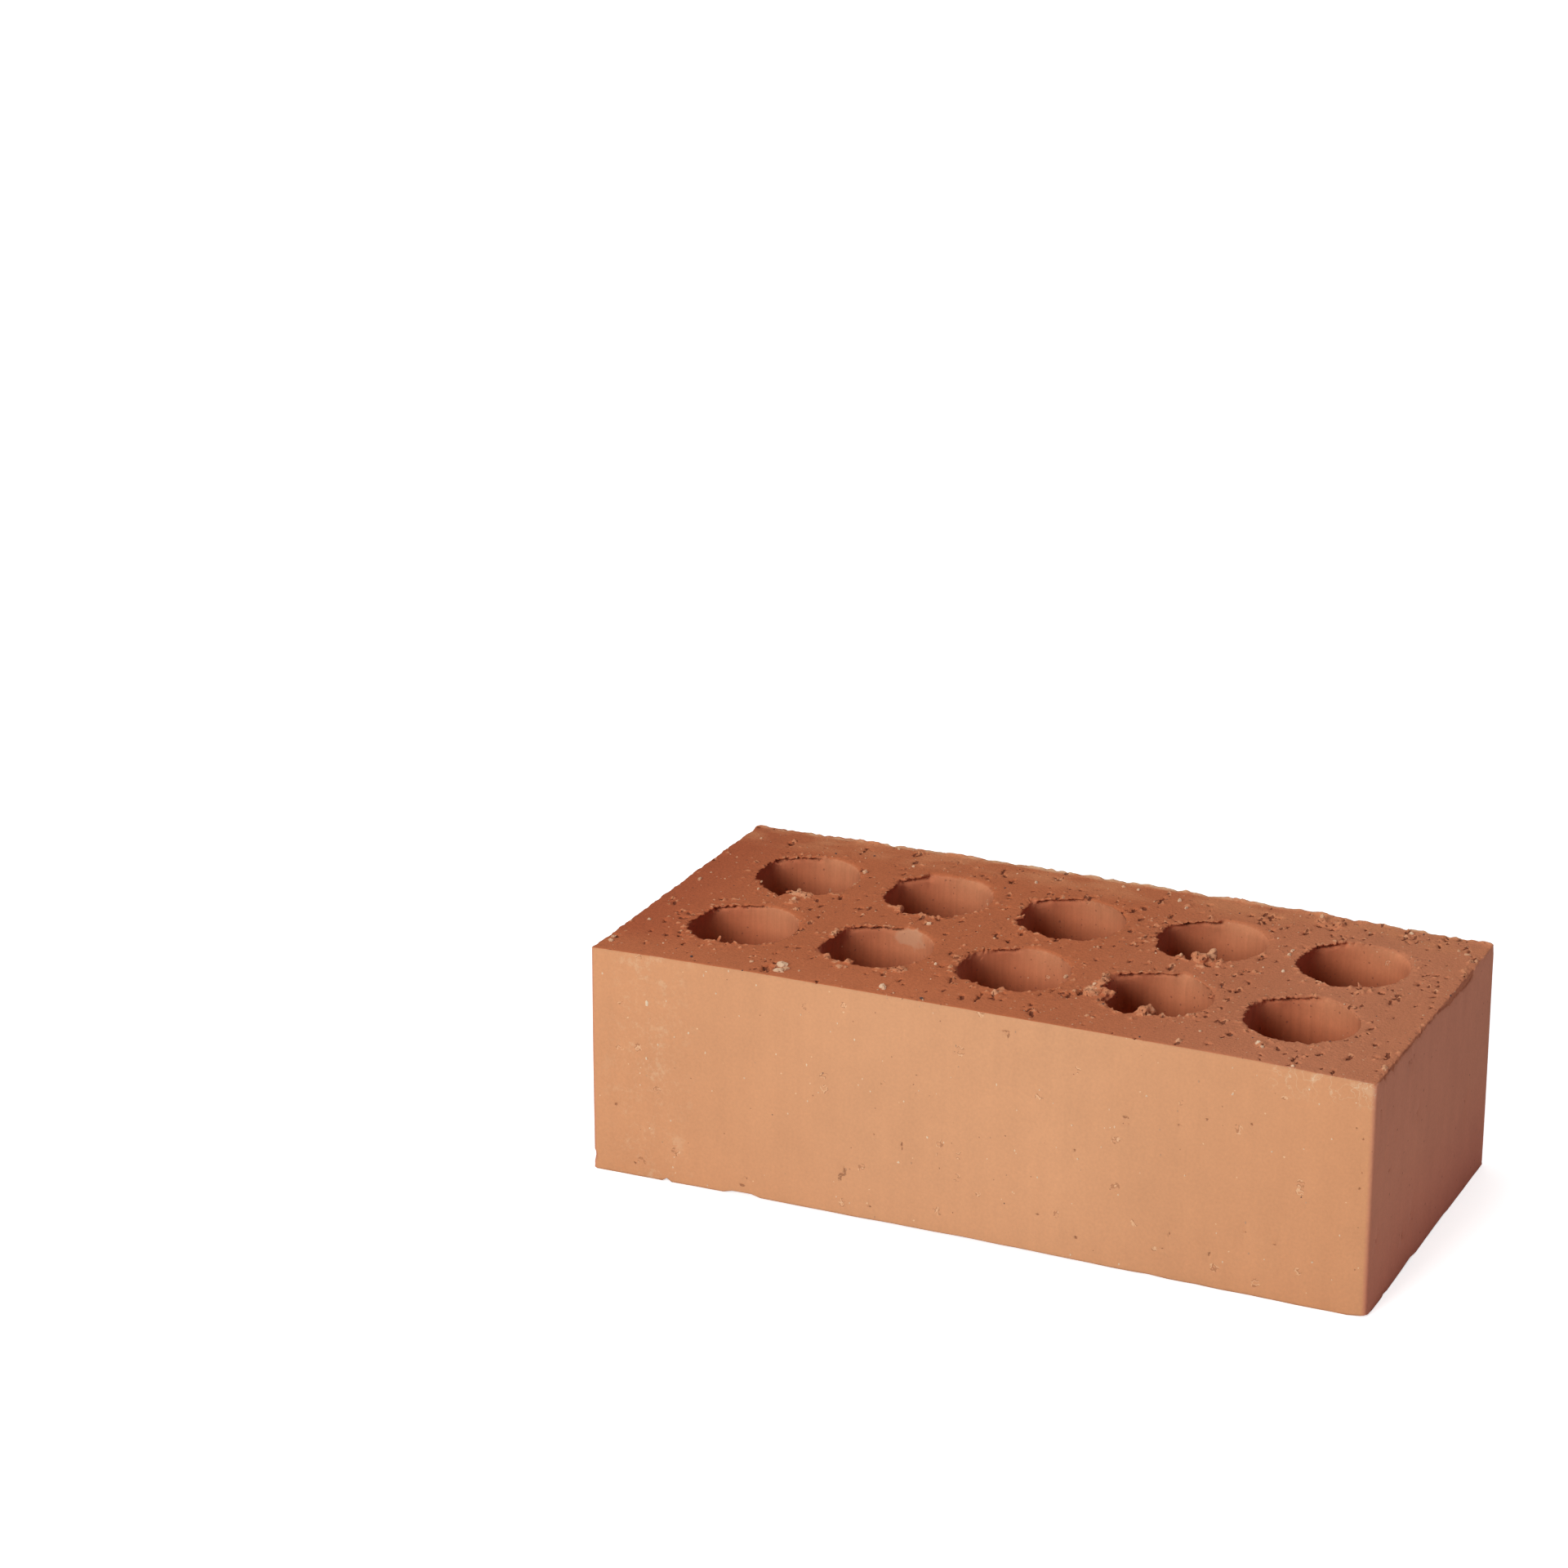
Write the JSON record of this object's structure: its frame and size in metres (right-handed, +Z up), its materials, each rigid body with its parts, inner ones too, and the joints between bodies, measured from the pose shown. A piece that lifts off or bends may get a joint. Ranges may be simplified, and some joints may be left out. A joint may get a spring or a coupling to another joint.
{
  "type": "clay brick",
  "caption": "Extruded fired-clay brick with rounded upright arrises, wire-cut beds and two rows of round through cores.",
  "frame": {"origin": "centre of the bottom bed, on the level that the brick lies on", "axes": "+X along the length, +Y across the width from one stretcher face to the other, +Z up through the height, along the cores"},
  "size_m": [0.24, 0.115, 0.071],
  "materials": {
    "fired_clay": "unglazed fired clay, matt; smooth die-drawn sides and rough, dragged wire-cut beds"
  },
  "bodies": {
    "root": {"brick_body": "fired_clay"}
  },
  "joints": []
}
